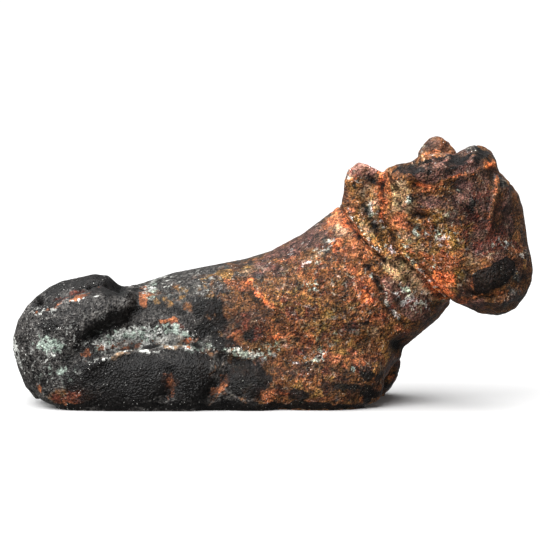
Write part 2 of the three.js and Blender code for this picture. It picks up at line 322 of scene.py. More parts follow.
def nearness(points, path, width):  # 1 on the path, falling to 0 at twice the width from it
    closest = np.full(len(points), np.inf)
    low, high = path.min(0) - 3 * width, path.max(0) + 3 * width
    near = np.flatnonzero(((points > low) & (points < high)).all(1))
    for start, end in zip(path, path[1:]):
        along = end - start
        span = max(along @ along, 1e-9)
        share = np.clip((points[near] - start) @ along / span, 0, 1)
        gap = np.linalg.norm(points[near] - start - share[:, None] * along, axis=1)
        closest[near] = np.minimum(closest[near], gap)
    return np.exp(-((closest / width) ** 2))


# Places where the casting is worn softer still: a path, a width, a share, and across what it is repeated.
wornPlaces = {
    "eye": ([(408, 204), (418, 198), (430, 198), (444, 202)], 1.8, 0.85, "head"),
    "brow": ([(398, 194), (410, 191), (430, 187), (452, 181), (475, 174), (494, 170)], 1.8, 0.95, None),
    "jaw": ([(392, 248), (404, 260), (420, 278), (436, 294), (448, 306)], 2.0, 0.97, "head"),
    "neckFold": ([(350, 232), (362, 252), (378, 266), (398, 282),
                  (420, 298), (436, 306)], 2.2, 0.95, "body"),
    "dewlap": ([(369, 268), (378, 286), (386, 306), (404, 322)], 1.6, 0.9, "body"),
    "mouth": ([(470, 295), (490, 298), (508, 290), (528, 282)], 1.2, 0.7, None),
    "knee": ([(402, 352), (394, 366), (384, 380), (372, 394)], 1.6, 0.9, None),
    "hoofTop": ([(214, 350), (236, 356), (256, 362), (272, 362)], 1.8, 0.95, "body"),
    "hoofFront": ([(236, 362), (224, 377), (213, 389), (206, 402)], 1.6, 0.8, "body"),
    "earRoot": ([(386, 182), (384, 196), (383, 214), (390, 234)], 1.8, 0.9, "head"),
}


wearRounds = 220  # of averaging, where the share is 1


def pathsOf(surface, name, pixels, pair):  # a path on the surface and its twin on the hidden side
    path = landed(surface, pixels)
    if len(path) < 2:
        print("path", name, "misses the surface")
        return []
    if pair == "body":
        return [path, snapped(surface, acrossBody(path))]
    if pair == "head":
        return [path, snapped(surface, acrossHead(path))]
    return [path]


def surfaceOf(bull, points):
    return BVHTree.FromPolygons(points.tolist(), [tuple(face.vertices) for face in bull.data.polygons])


def wear(bull, places):
    points = pointsOf(bull)
    surface = surfaceOf(bull, points)
    share = np.zeros(len(points))
    for name, (pixels, width, amount, pair) in places.items():
        for line in pathsOf(surface, name, pixels, pair):
            share = np.maximum(share, amount * nearness(points, line, width))
    movePoints(bull, points + (evened(bull, points, wearRounds) - points) * share[:, None])


def strike(bull, strokes):
    points, normals = pointsOf(bull), normalsOf(bull)
    surface = surfaceOf(bull, points)
    offset = np.zeros(len(points))
    for name, (pixels, width, height, pair) in strokes.items():
        for line in pathsOf(surface, name, pixels, pair):
            offset += height * nearness(points, line, width)
    movePoints(bull, points + normals * offset[:, None])


# The bull's outline in the picture, in pixels, clockwise from the foot of the rump to the foot of the chest.
# The casting is drawn out or pressed in to it, less and less over the reach from it.
outline = {
    "reach": 12.0,
    "spacing": 4.0,  # between the marks along a run
    "strip": 1.5,  # half the width of what is measured at a mark
    "rounds": 4,
    "runs": {
        "back": [
            (35, 398), (25, 386), (18, 368), (13, 350), (13, 338), (18, 320), (27, 306), (37, 296),
            (50, 286.5), (62, 281), (78, 277.5), (94, 274), (108, 275.5), (117, 283), (122, 286),
            (130, 285.5), (142, 283), (174, 272.5), (246, 258.5), (270, 251), (302, 234), (334, 210),
            (341, 204), (343.5, 193), (344.5, 180), (348, 170), (358, 162.5), (366, 164), (374, 168),
            (380, 171),
        ],
        "brow": [(386, 168.5), (398, 164), (411, 162)],
        "farEar": [
            (416.5, 158), (418.5, 152), (422, 146), (429, 138.5), (435, 136), (441, 137), (447, 141),
            (453, 147), (458, 152),
        ],
        "face": [
            (463, 150), (470, 146), (477, 145), (484, 146.5), (491.5, 151.5), (496, 160), (499, 171),
            (504, 176), (511, 184), (518.5, 194), (523, 208), (526.5, 232), (528, 244), (531.5, 258),
            (533, 270), (531.5, 282), (526, 295), (516, 308), (506, 313.5), (497, 315.6), (480, 313.5),
            (466, 307), (454, 302),
        ],
        "chest": [
            (449.5, 304.5), (438, 319), (403, 348), (401, 358), (400, 368), (397, 378), (390, 389),
            (378, 400),
        ],
    },
}


def outlineMarks():
    marks, ways = [], []
    for corners in outline["runs"].values():
        corners = np.array(corners, float)
        run = []
        for start, end in zip(corners, corners[1:]):
            steps = max(1, round(math.dist(start, end) / outline["spacing"]))
            run += [start + (end - start) * k / steps for k in range(steps)]
        run = np.array(run + [corners[-1]])
        way = np.gradient(run, axis=0)
        marks.append(run)
        ways.append(way / np.linalg.norm(way, axis=1)[:, None])
    return np.concatenate(marks), np.concatenate(ways)


def fitOutline(bull):
    points = pointsOf(bull)
    marks, ways = outlineMarks()
    outwards = np.stack((ways[:, 1], -ways[:, 0]), 1)
    for _ in range(outline["rounds"]):
        seen = pictureOf(points)
        push = np.zeros((len(points), 2))
        total = np.full(len(points), 1e-9)
        closest = np.full(len(points), np.inf)
        worst = 0
        for mark, way, outward in zip(marks, ways, outwards):
            offset = seen - mark
            near = np.flatnonzero(np.abs(offset).max(1) < 3 * outline["reach"])
            offset = offset[near]
            height = offset @ outward
            across = np.abs(offset @ way) < outline["strip"]
            edge = height[across & (np.abs(height) < outline["reach"])].max(initial=-outline["reach"])
            gap = np.linalg.norm(offset, axis=1)
            share = np.exp(-((gap / outline["spacing"]) ** 2))
            push[near] -= (share * edge)[:, None] * outward
            total[near] += share
            closest[near] = np.minimum(closest[near], gap)
            worst = max(worst, abs(edge))
        push *= (np.exp(-((closest / outline["reach"]) ** 2)) / total)[:, None]
        span = (pixelSpan * ((eye - points) @ towardsCamera))[:, None]
        points += span * (push[:, :1] * pictureRight - push[:, 1:] * pictureUp)
        print("outline off by", round(float(worst), 1), "pixels at most")
    movePoints(bull, points)


# Corrosion eats pits and builds crust, least on the rump and most on the chest. Sizes are in millimetres.
crust = {
    "layers": {
        "unevenness": {"size": 4.5, "height": 0.18, "octaves": 2, "seed": 1, "everywhere": True},
        "lumps": {"size": 1.9, "height": 0.13, "octaves": 3, "seed": 2, "everywhere": False},
        "grit": {"size": 0.8, "height": 0.08, "octaves": 2, "seed": 3, "everywhere": False},
    },
    "pits": {"size": 1.5, "depth": 0.09, "edge": (0.12, 0.42), "seed": 4},
    "pitFields": {"size": 3.5, "octaves": 2, "seed": 5, "edge": (0.0, 0.35)},
    "rump": 0.35,  # the rump's share of it
    "rumpToChest": (-14, 6),
    "headLoses": 0.5,
    "neckToHead": (20, 30),  # along the body, with a lean back as it rises
    "headLean": 0.4,
    "foot": 1.5,  # the crust fades out over this height above the ground
}


def corrode(bull):
    points, normals = pointsOf(bull), normalsOf(bull)
    rough = crust["rump"] + (1 - crust["rump"]) * softStep(*crust["rumpToChest"], points[:, 0])
    alongNeck = points[:, 0] + crust["headLean"] * points[:, 2]
    rough -= crust["headLoses"] * softStep(*crust["neckToHead"], alongNeck)
    offset = np.zeros(len(points))
    for layer in crust["layers"].values():
        heights = layer["height"] * roughness(points, layer["size"], layer["octaves"], layer["seed"])
        offset += heights if layer["everywhere"] else rough * heights
    pits, fields = crust["pits"], crust["pitFields"]
    eaten = 1 - softStep(*pits["edge"], cells(points, pits["size"], pits["seed"]))
    eaten *= softStep(*fields["edge"], roughness(points, fields["size"], fields["octaves"], fields["seed"]))
    offset -= rough * pits["depth"] * eaten
    standing = softStep(0.0, crust["foot"], points[:, 2])
    movePoints(bull, points + normals * (offset * standing)[:, None])


def standFlat(bull):  # the underside is one plane again
    points = pointsOf(bull)
    points[:, 2] = np.where(points[:, 2] < casting["footing"], 0.0, points[:, 2])
    movePoints(bull, points)


def tone(*levels):  # a colour as a screen shows it, red, green and blue up to 255, made linear
    return tuple(((c / 255 + 0.055) / 1.055) ** 2.4 if c > 10 else c / 3295 for c in levels) + (1,)


# The layers of the patina from the first to the last laid down. "lace" breaks a layer up into flakes of
# the given size in millimetres. Patches are x, y, half width, half height, strength and, where one isn't
# level, its turn in degrees, or the corners of a shape and its strength. Below zero one keeps the layer off.
# Some layers also carry painted light and shade, as their names say.
patina = {
    "warm": {
        "tones": (tone(48, 32, 22), tone(138, 92, 54)),
        "size": 3.0, "lace": 3.0, "edge": 3.0, "opacity": 1.0,
        "patches": [
            (330, 330, 105, 120, 1.0), (430, 240, 120, 120, 1.0), (250, 300, 40, 60, 0.7, 20),
            (250, 275, 50, 14, 0.6, -12), (180, 300, 40, 20, 0.25), (80, 395, 30, 12, 0.5),
        ],
    },
    # Dark brown patina, and painted shade on the front of the face, the chin and the lower chest.
    "umberAndPaintedShade": {
        "tones": (tone(24, 15, 11), tone(82, 54, 40)),
        "size": 3.2, "lace": 3.0, "edge": 3.2, "opacity": 0.85,
        "patches": [
            (492, 225, 30, 44, 0.6), (500, 302, 40, 14, 0.45, -20), (440, 168, 48, 9, 0.6, -12),
            (345, 388, 60, 14, 0.5), (425, 203, 22, 9, 0.6), (360, 188, 14, 24, 0.45),
            (466, 285, 12, 22, 0.55), (524, 268, 10, 18, 0.6), (398, 360, 14, 30, 0.6, 20),
            (225, 320, 26, 20, 0.6, -20), (250, 265, 40, 8, 0.4, -12), (300, 248, 50, 8, 0.4, -28),
            (408, 305, 24, 12, 0.4, 35), (345, 330, 26, 16, 0.35), (470, 196, 34, 22, 0.75),
            (415, 178, 24, 6, 0.5, -8), (270, 385, 40, 14, 0.35), (305, 300, 20, 12, 0.3),
            (330, 240, 10, 8, 0.3, -30), (347, 297, 12, 12, 0.5), (351, 282, 10, 9, 0.5),
            (416, 159, 10, 4, 0.7), (247, 322, 18, 14, 1.2), (222, 346, 14, 9, 0.6), (297, 372, 14, 12, 0.9),
            (350, 374, 22, 12, 0.6), (368, 368, 16, 12, 0.8), (315, 374, 18, 8, 0.6), (316, 284, 16, 8, 0.4),
            (450, 218, 13, 12, 0.9), (452, 250, 10, 20, 0.35), (425, 175, 18, 8, 0.6),
            (475, 172, 22, 8, 0.6), (437, 146, 18, 12, 0.8), (345, 194, 4, 12, 1.0), (490, 180, 14, 14, 0.5),
            (506, 200, 12, 20, 0.6), (508, 240, 12, 16, 0.5), (512, 258, 12, 8, 0.6),
        ],
    },
    "plum": {
        "tones": (tone(50, 34, 32), tone(118, 86, 78)),
        "size": 3.5, "lace": 3.0, "edge": 3.0, "opacity": 0.85,
        "patches": [
            (300, 244, 55, 10, 0.9, -28), (445, 166, 48, 12, 1.2, -13), (430, 205, 22, 9, 0.7),
            (475, 205, 25, 30, 0.9), (362, 170, 16, 8, 0.8), (485, 240, 26, 22, 0.8),
            (505, 225, 14, 40, 0.6), (470, 300, 25, 14, 0.6), (407, 300, 28, 16, 1.2, 38),
            (300, 375, 25, 8, 0.3), (275, 270, 30, 8, 0.5, -20), (350, 330, 20, 14, 0.3),
        ],
    },
    "ochre": {
        "tones": (tone(60, 45, 25), tone(180, 134, 74)),
        "size": 2.8, "lace": 3.5, "edge": 4.0, "opacity": 0.78,
        "patches": [
            (408, 243, 24, 16, 0.8, 35), (444, 246, 16, 22, 0.6), (364, 228, 9, 20, 0.65, -35),
            (392, 255, 22, 8, 0.6, 42), (430, 222, 22, 8, 0.6), (343, 350, 18, 13, 0.8),
            (384, 347, 13, 15, 0.85), (300, 310, 38, 22, 0.5, 20), (330, 322, 34, 26, 0.5),
            (355, 196, 7, 12, 0.2), (384, 244, 18, 8, 0.8, 45), (465, 270, 12, 14, 0.4),
            (220, 333, 16, 5, 0.4), (195, 292, 40, 12, 0.3, -10), (235, 270, 20, 6, 0.4, -15),
            (520, 270, 6, 10, 0.5), (370, 375, 14, 12, 0.5), (310, 385, 24, 12, 0.4),
        ],
    },
    "clay": {
        "tones": (tone(80, 62, 48), tone(186, 154, 122)),
        "size": 2.6, "lace": 2.6, "edge": 3.4, "opacity": 0.8,
        "patches": [
            (368, 200, 12, 26, 0.38, -10), (374, 232, 12, 26, 0.45, -38), (405, 202, 12, 15, 0.9),
            (398, 270, 18, 11, 1.0, 42), (425, 288, 24, 13, 0.8, 35), (172, 341, 16, 8, 0.7),
            (116, 356, 16, 5, 0.7, -14), (387, 184, 7, 18, 0.45), (470, 258, 12, 8, 0.5),
            (412, 240, 22, 10, 0.55, 30), (345, 232, 10, 14, 0.5, -40), (310, 262, 24, 8, 0.4, -30),
            (250, 275, 30, 8, 0.3, -12), (410, 262, 20, 6, 0.5, 45), (375, 330, 10, 8, 0.3),
            (400, 190, 10, 12, 0.7), (415, 268, 22, 10, 0.6, 45), (360, 174, 8, 7, 0.35),
        ],
    },
    "rust": {
        "tones": (tone(84, 45, 31), tone(184, 114, 73)),
        "size": 2.4, "lace": 3.5, "edge": 4.2, "opacity": 0.92,
        "patches": [
            (358, 188, 14, 20, -0.35),
            ([(350, 212), (366, 212), (382, 225), (394, 242), (402, 256), (398, 264), (385, 257),
              (370, 243), (357, 229)], -1.0),
            (350, 246, 20, 38, 0.7, -30), (365, 290, 20, 22, 0.75), (264, 298, 24, 4.5, 0.85, 48),
            (236, 283, 22, 7, 0.5, 10), (285, 262, 30, 7, 0.4, -18), (300, 340, 34, 14, 0.35, 10),
            (383, 192, 9, 26, 0.95), (390, 228, 7, 14, 0.5, -30), (440, 285, 17, 17, 1.1, 40),
            (425, 273, 26, 7, 0.9, 50), (378, 318, 14, 12, 0.65), (322, 284, 24, 14, 0.2),
            (428, 191, 16, 3, 0.55, -6), (410, 198, 5, 5, 0.4), (425, 186, 17, 3, 0.8, -4),
            (458, 176.5, 20, 2.2, 0.7, -15), (482, 168.5, 14, 2.5, 0.7, -18), (490, 166, 7, 5, 0.9),
            (431, 153.5, 11, 3.2, 1.0, -12), (497, 188, 2.5, 14, 0.4, 5), (487, 213, 4, 7, 0.6, 20),
            (445, 227, 20, 8, 0.7, 20), (450, 262, 14, 18, 0.75), (420, 255, 16, 8, 0.5, 40),
            (400, 225, 12, 10, 0.5), (144, 298, 6, 12, 0.75), (167, 322, 9, 3.5, 0.95),
            (189, 340, 8, 4, 0.9), (170, 385, 6, 16, 0.8, 12), (222, 382, 6, 24, 0.65, 38),
            (275, 392, 22, 10, 0.45), (306, 378, 22, 10, 0.35), (235, 340, 12, 8, 0.5),
            (280, 330, 14, 14, 0.6), (62, 303, 28, 3.2, 0.65, -20), (98, 289, 12, 2.2, 0.3, -10),
            (60, 402, 34, 4, 0.15, 5), (85, 352, 10, 10, 0.55, 30), (120, 345, 40, 5, 0.6, -5),
            (37, 386, 4, 9, 0.4, -20), (350, 358, 30, 8, 0.5), (392, 374, 6, 20, 0.4),
            (480, 297, 30, 3, 0.55, -14), (473, 284, 2.5, 12, 0.7), (345, 402, 40, 4, 0.35),
            (346, 222, 13, 16, 0.8, -40), (320, 262, 22, 12, 0.5, -30), (400, 330, 14, 10, 0.5, -30),
            (430, 240, 12, 8, 0.4), (512, 250, 14, 3, 0.4, -10),
        ],
    },
    # Bright orange patina, and painted light where it is laid strongest, on the cheek's underside.
    "emberAndPaintedLight": {
        "tones": (tone(164, 66, 30), tone(240, 142, 86)),
        "size": 1.8, "lace": 4.0, "edge": 4.5, "opacity": 0.85,
        "patches": [
            (366, 292, 9, 10, 0.6), (264, 299, 22, 2, 0.85, 48), (249, 283, 4, 6, 0.8, 48),
            (441, 286, 13, 12, 1.1, 40), (449, 280, 9, 9, 0.7), (352, 228, 6, 20, 0.55, -35),
            (381, 192, 3, 22, 0.6), (490, 165, 5, 3, 0.7), (280, 338, 12, 3, 0.5, 10),
            (415, 268, 14, 2, 0.5, 45), (430, 190, 10, 1.5, 0.3, -6), (275, 395, 14, 5, 0.35),
            (308, 344, 8, 3, 0.5), (190, 340, 5, 2, 0.4), (358, 265, 7, 6, 0.4), (340, 250, 6, 6, 0.4),
            (425, 186, 14, 1.6, 0.6, -4), (458, 176, 14, 1.2, 0.35, -15), (482, 168, 12, 1.4, 0.4, -18),
        ],
    },
    "maroon": {
        "tones": (tone(42, 20, 17), tone(110, 56, 42)),
        "size": 2.2, "lace": 3.5, "edge": 3.8, "opacity": 0.85,
        "patches": [
            (352, 174, 7, 8, 0.45), (325, 325, 90, 70, 0.22), (320, 260, 50, 20, 0.3, -30),
            (62, 299, 26, 3.5, 0.5, -24), (95, 289, 14, 3, 0.4, -10), (76, 396, 22, 10, 0.8),
            (175, 325, 9, 3, 0.5), (486, 228, 26, 26, 0.5), (250, 330, 24, 12, 0.35),
            (205, 300, 12, 9, 0.25), (345, 305, 14, 10, 0.4), (510, 240, 12, 20, 0.4),
            (395, 372, 8, 22, 0.5), (318, 312, 7, 9, 0.6), (482, 195, 10, 16, 0.4), (285, 298, 8, 6, 0.4),
        ],
    },
    # Black patina, and painted shade: on the face's far side, along the foot's lowest edge, on the shank's
    # lower half, in the groove of the haunches and in thin lines under the ear's edges.
    "blackPatinaAndPaintedShade": {
        "tones": (tone(5, 5, 5), tone(23, 21, 20)),
        "size": 3.0, "lace": 3.0, "edge": 3.8, "opacity": 0.96,
        "patches": [
            ([(471, 276), (490, 266), (509, 257), (515, 262), (514, 276), (498, 286), (479, 294),
              (475, 288)], 2.2),
            (521, 268, 9, 10, 0.45), (521, 279, 7, 7, 0.5), (216, 325, 20, 13, 0.95, -30),
            (206, 310, 18, 14, 0.8), (118, 382, 52, 26, 1.3), (190, 362, 26, 12, 1.0),
            (150, 366, 30, 10, 0.9), (247, 380, 20, 17, 1.7), (192, 378, 22, 26, 1.2),
            (110, 321, 34, 9, 1.0, -20), (62, 322, 34, 9, 0.55, -20), (396, 378, 9, 26, 0.5, 20),
            (345, 387, 20, 9, 0.6), (264, 335, 9, 8, 0.6), (92, 336, 14, 18, 0.7, 30),
            (355, 320, 16, 18, 0.3), (394, 250, 5, 4, 0.45, 45), (372, 229, 5, 4, 0.45, 45),
            (349, 222, 16, 1.2, 0.6, 60), (376, 252, 22, 1.2, 0.6, 46), (354, 190, 4, 10, 0.45),
            (372, 177, 6, 7, 0.35), (412, 196, 6, 6, 0.4), (435, 230, 8, 8, 0.4), (220, 406, 170, 4, 1.5),
            (80, 342, 12, 14, 0.8), (50, 386, 14, 9, 0.5), (247, 332, 14, 12, 0.6), (222, 345, 13, 9, 1.1),
            (240, 322, 12, 9, 0.5), (482, 153, 16, 9, 0.75), (408, 172, 20, 8, 0.7, -8),
            (514, 212, 10, 36, 0.4, -10), (370, 345, 14, 10, 0.35, 40), (90, 282, 36, 9, 1.0, -6),
            (50, 298, 22, 9, 0.9, -34), (118, 292, 22, 9, 0.8, -6), (172, 310, 26, 6, 0.7, 12),
            (437, 142, 12, 6, 0.45), (360, 320, 14, 12, 0.45), (335, 385, 22, 10, 0.5),
            (240, 345, 16, 6, 0.45), (270, 330, 10, 12, 0.4), (455, 168, 24, 5, 0.5, -14),
            (396, 182, 8, 9, 0.5), (530, 290, 5, 16, 0.5, 10), (25, 395, 10, 10, 0.3, 30),
            (345, 380, 12, 5, 0.5), (75, 346, 12, 12, 0.5), (297, 395, 18, 8, 0.9), (370, 394, 18, 10, 0.7),
            (368, 376, 14, 8, 0.6), (512, 257, 12, 6, 0.4), (513, 206, 11, 26, 0.4, -8),
            (455, 163, 30, 6, 0.4, -14), (437, 158.5, 20, 1.4, 1.2, -14), (488, 190, 12, 14, 0.4),
            (464, 204, 20, 16, 0.4), (430, 168, 40, 6, 0.45, -14),
        ],
    },
    # Pale crust, and painted highlights in its thin lines along ridges: the haunch's crest, the shank's
    # edge, the dewlap, the jaw and the ear's rim.
    "chalkAndPaintedHighlights": {
        "tones": (tone(92, 89, 84), tone(226, 228, 222)),
        "size": 0.9, "lace": 5.0, "edge": 4.6, "opacity": 0.8,
        "patches": [
            (40, 368, 20, 26, 0.08, -15), (48, 352, 14, 8, 0.35, -10), (110, 342, 24, 9, 0.75, -12),
            (137, 337, 26, 12, 0.75, -6), (170, 337, 22, 9, 0.95), (45, 312, 14, 8, 0.15, -25),
            (165, 280, 14, 8, 0.2), (150, 288, 7, 11, 0.35), (200, 285, 40, 16, 0.08, -8),
            (104, 358, 16, 1.4, 0.34, -20), (140, 352, 28, 1.6, 0.8, -2), (182, 347, 26, 2.0, 0.6, -3),
            (250, 353, 22, 4, 0.5, 10), (80, 299, 20, 1.4, 0.45, -14), (42, 312, 10, 1.6, 0.45, -30),
            (14, 345, 3, 18, 0.7, -5), (20, 362, 3, 14, 0.5, -15), (411, 298, 19, 11, 0.5, 32),
            (372, 211, 7, 7, 0.55), (325, 248, 12, 5, 0.45, -30), (310, 262, 10, 4, 0.22, -30),
            (376, 279, 12, 1.2, 0.8, 52), (385, 297, 13, 1.2, 0.8, 82), (396, 316, 13, 1.2, 0.8, 38),
            (412, 262, 10, 2, 0.5, 45), (428, 279, 26, 1.3, 0.7, 49), (369, 240, 22, 1.2, 0.6, 48),
            (351, 214, 12, 1.0, 0.55, 64), (357, 178, 8, 7, 0.2), (378, 222, 7, 7, 0.3),
            (389, 250, 8, 5, 0.45, 45), (408, 198, 3, 5, 0.5), (445, 234, 10, 12, 0.3),
            (503, 245, 10, 6, 0.35), (520, 255, 6, 3, 0.45), (440, 160, 20, 3, 0.12, -14),
            (430, 155, 3, 2, 0.5), (285, 255, 24, 5, 0.12, -20), (300, 360, 20, 6, 0.25),
            (330, 290, 60, 50, 0.05), (440, 235, 40, 50, 0.06), (60, 340, 50, 40, 0.05),
        ],
    },
    "mint": {
        "tones": (tone(84, 98, 88), tone(214, 230, 216)),
        "size": 0.9, "lace": 5.0, "edge": 2.6, "opacity": 0.85,
        "patches": [
            (46, 345, 13, 8, 0.7, 10), (60, 350, 8, 6, 0.35, 30), (177, 331, 13, 5, 0.75, 12),
            (140, 334, 24, 7, 0.5, -8), (152, 290, 6, 10, 0.4), (105, 340, 14, 9, 0.4, -20),
            (200, 346, 14, 3, 0.4), (248, 354, 20, 4, 0.7, 5), (268, 350, 10, 7, 0.5, -30),
            (322, 356, 12, 6, 0.5, -15), (352, 368, 2, 3, 0.8), (420, 236, 9, 4, 0.4),
            (415, 230, 2.5, 6, 0.5, 20), (404, 243, 8, 3, 0.3, 40), (438, 235, 3, 7, 0.7, 10),
            (408, 199, 2, 7, 0.6), (458, 191, 3, 3, 0.7), (388, 245, 3, 3, 0.6), (434, 267, 3, 3, 0.6),
            (60, 372, 16, 10, 0.2), (390, 300, 8, 9, 0.1), (318, 291, 3, 3, 0.6), (312, 284, 10, 8, 0.2),
            (404, 290, 9, 6, 0.15), (330, 340, 40, 20, 0.06),
        ],
    },
}


# Painted light: patches that brighten the patina on the ear, cheeks, throat and face, of the same kind as
# the patina's. Below zero they darken it as painted shade.
paintedLightAndShadePatches = [
    (372, 212, 38, 54, 1.0, -25), (405, 268, 36, 24, 1.5, 45), (345, 232, 18, 34, 0.9, -30),
    (430, 240, 40, 46, 0.6), (421, 272, 30, 22, 1.6, 40), (482, 236, 26, 20, 0.5),
    (400, 285, 30, 14, 1.2, 40), (362, 272, 22, 20, 0.6), (362, 171, 18, 12, 2.6), (402, 192, 12, 12, 2.9),
    (384, 180, 10, 12, 1.0), (440, 146, 18, 12, 1.9), (344, 198, 4, 16, -0.8), (443, 217, 14, 12, -0.9),
]


patching = {
    "roundEdge": (0.3, 1.5),  # a round patch fades between these shares of its size
    "shapeEdge": (-2, 2),  # a shape with corners fades over these pixels
    "drift": {"pixels": 4, "size": 2.4, "octaves": 3, "seeds": (11, 12)},  # how far their edges wander
    # Hollows of the surface: rounds of averaging that find them, and gain. The colour darkens creases with
    # them as painted shade, and pits as dark corrosion and painted shade.
    "hollows": {"crease": (14, 3.5), "pit": (3, 14.0)},
}


def patchCover(seen, patch):
    if isinstance(patch[0], list):
        corners, strength = np.array(patch[0], float), patch[1]
        depth = np.full(len(seen), np.inf)
        for start, end in zip(corners, np.roll(corners, -1, axis=0)):
            along = (end - start) / math.dist(start, end)
            right, down = (seen - start).T
            depth = np.minimum(depth, along[0] * down - along[1] * right)
        return strength * softStep(*patching["shapeEdge"], depth)
    x, y, halfWidth, halfHeight, strength, turn = (*patch, 0)[:6]
    angle = math.radians(turn)
    right, down = seen[:, 0] - x, seen[:, 1] - y
    along = (right * math.cos(angle) + down * math.sin(angle)) / halfWidth
    across = (down * math.cos(angle) - right * math.sin(angle)) / halfHeight
    return strength * (1 - softStep(*patching["roundEdge"], np.hypot(along, across)))


def coverOf(seen, patches):  # the strongest patch at each point, less the strongest that keeps the layer off
    covers = np.array([patchCover(seen, patch) for patch in patches])
    return np.clip(covers.max(0) + np.minimum(covers.min(0), 0), 0, None)


def writeAttribute(piece, name, values):
    attribute = piece.data.attributes.new(name, "FLOAT", "POINT")
    attribute.data.foreach_set("value", values.astype(np.float32))


def weather(bull):  # the patina's layers, and where the surface is hollow, as attributes of the mesh
    points, normals = pointsOf(bull), normalsOf(bull)
    seen = pictureOf(points)
    drift = patching["drift"]
    for axis, seed in enumerate(drift["seeds"]):
        seen[:, axis] += drift["pixels"] * roughness(points, drift["size"], drift["octaves"], seed)
    for name, layer in patina.items():
        writeAttribute(bull, name, coverOf(seen, layer["patches"]))
    # painted light and shade, as an attribute
    writeAttribute(bull, "paintedLightAndShade", coverOf(seen, paintedLightAndShadePatches))
    for name, (rounds, gain) in patching["hollows"].items():
        hollow = ((evened(bull, points, rounds) - points) * normals).sum(1)
        writeAttribute(bull, name, np.clip(0.5 + gain * evened(bull, hollow, 1), 0, 1))


speckEdge = 6  # how sharp the edges of small grains are


# Shaders. A Wire is one socket that can be used in sums, and a Board is one material.
class Wire:
    def __init__(self, board, socket):
        self.board = board
        self.socket = socket

    def __add__(self, other):
        return self.board.maths("ADD", self, other)

    def __radd__(self, other):
        return self.board.maths("ADD", other, self)

    def __sub__(self, other):
        return self.board.maths("SUBTRACT", self, other)

    def __rsub__(self, other):
        return self.board.maths("SUBTRACT", other, self)

    def __mul__(self, other):
        return self.board.maths("MULTIPLY", self, other)

    def __rmul__(self, other):
        return self.board.maths("MULTIPLY", other, self)

    def __abs__(self):
        return self.board.maths("ABSOLUTE", self, 0.0)

    def clamped(self):
        return self.board.maths("ADD", self, 0.0, clamp=True)

    def crisp(self, gain, middle=0.5):  # a noise value with more contrast, from 0 to 1
        return ((self - 0.5) * gain + middle).clamped()

    def above(self, level):  # how far a noise value is above a level, and 0 below it
        return (self - level).clamped()

    def thread(self, sharpness):  # 1 along the fine lines where a noise value crosses its middle
        return (1 - abs(self - 0.5) * sharpness).clamped()


class Board:
    def __init__(self, name):
        self.material = bpy.data.materials.new(name)
        self.material.use_nodes = True
        self.material.node_tree.nodes.clear()

    def node(self, kind, settings, inputs):
        made = self.material.node_tree.nodes.new("ShaderNode" + kind)
        for name, value in settings.items():
            setattr(made, name, value)
        for name, value in inputs.items():
            if isinstance(value, Wire):
                self.material.node_tree.links.new(value.socket, made.inputs[name])
            else:
                made.inputs[name].default_value = value
        return made

    def maths(self, operation, first, second, clamp=False):
        settings = {"operation": operation, "use_clamp": clamp}
        return Wire(self, self.node("Math", settings, {0: first, 1: second}).outputs[0])

    def millimetres(self):  # where a point lies on the object
        position = Wire(self, self.node("TexCoord", {}, {}).outputs["Object"])
        return self.scaledColour(position, 1 / mm)

    def attribute(self, name):
        return Wire(self, self.node("Attribute", {"attribute_name": name}, {}).outputs["Fac"])

    def noise(self, where, size, seed, detail=3.0, roughness=0.6, twist=0.0):  # size in millimetres
        inputs = {"Vector": where, "W": 7.3 * seed, "Scale": 1 / size, "Detail": detail}
        inputs.update({"Roughness": roughness, "Distortion": twist})
        return Wire(self, self.node("TexNoise", {"noise_dimensions": "4D"}, inputs).outputs["Fac"])

    def specks(self, where, size, radius):  # 1 in scattered small grains
        inputs = {"Vector": where, "Scale": 1 / size}
        distance = Wire(self, self.node("TexVoronoi", {}, inputs).outputs["Distance"])
        return ((radius - distance) * (speckEdge / radius)).clamped()

    def blend(self, first, second, share):
        inputs = {0: share, 6: first, 7: second}
        return Wire(self, self.node("Mix", {"data_type": "RGBA"}, inputs).outputs[2])

    def tinted(self, colour, tint):
        made = self.node("VectorMath", {"operation": "MULTIPLY"}, {0: colour, 1: tint})
        return Wire(self, made.outputs[0])

    def shiftedBy(self, where, offset):
        made = self.node("VectorMath", {"operation": "ADD"}, {0: where, 1: offset})
        return Wire(self, made.outputs[0])

    def scaledColour(self, colour, factor):
        made = self.node("VectorMath", {"operation": "SCALE"}, {"Vector": colour, "Scale": factor})
        return Wire(self, made.outputs[0])


